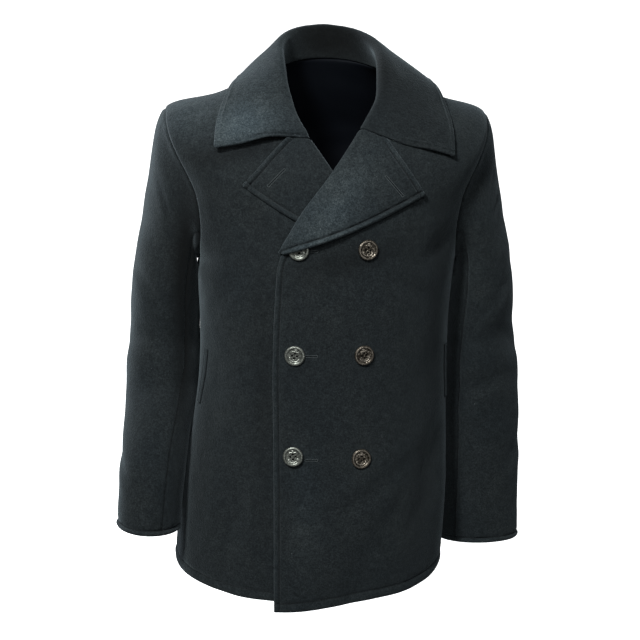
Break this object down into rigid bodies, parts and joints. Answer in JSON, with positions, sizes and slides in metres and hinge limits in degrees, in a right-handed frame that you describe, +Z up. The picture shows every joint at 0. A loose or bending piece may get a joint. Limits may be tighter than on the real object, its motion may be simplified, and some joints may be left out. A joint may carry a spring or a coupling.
{
  "type": "pea coat",
  "caption": "Double-breasted hip-length wool coat with wide notched lapels and collar, set-in sleeves, slanted welt pockets and six four-hole buttons, buttoned and filled out with no wearer.",
  "frame": {"origin": "middle of the neck's base, level with the top of the shoulder seams, where the coat hangs on its wearer's shoulders", "axes": "+Z up, the front faces -Y, +X is the wearer's left"},
  "size_m": [0.6273, 0.3203, 0.847],
  "materials": {
    "wool": "dark navy melton wool, dense and matt with a short nap",
    "button": "aged pewter-toned moulded resin with a raised rim, half gloss"
  },
  "bodies": {
    "root": {"front_left": "wool", "front_right": "wool", "back": "wool", "sleeve_left_top": "wool", "sleeve_left_under": "wool", "sleeve_right_top": "wool", "sleeve_right_under": "wool", "collar": "wool", "lapel_left": "wool", "lapel_right": "wool", "pocket_welt_left": "wool", "pocket_welt_right": "wool", "button_left_1": "button", "button_left_2": "button", "button_left_3": "button", "button_right_1": "button", "button_right_2": "button", "button_right_3": "button"}
  },
  "joints": []
}
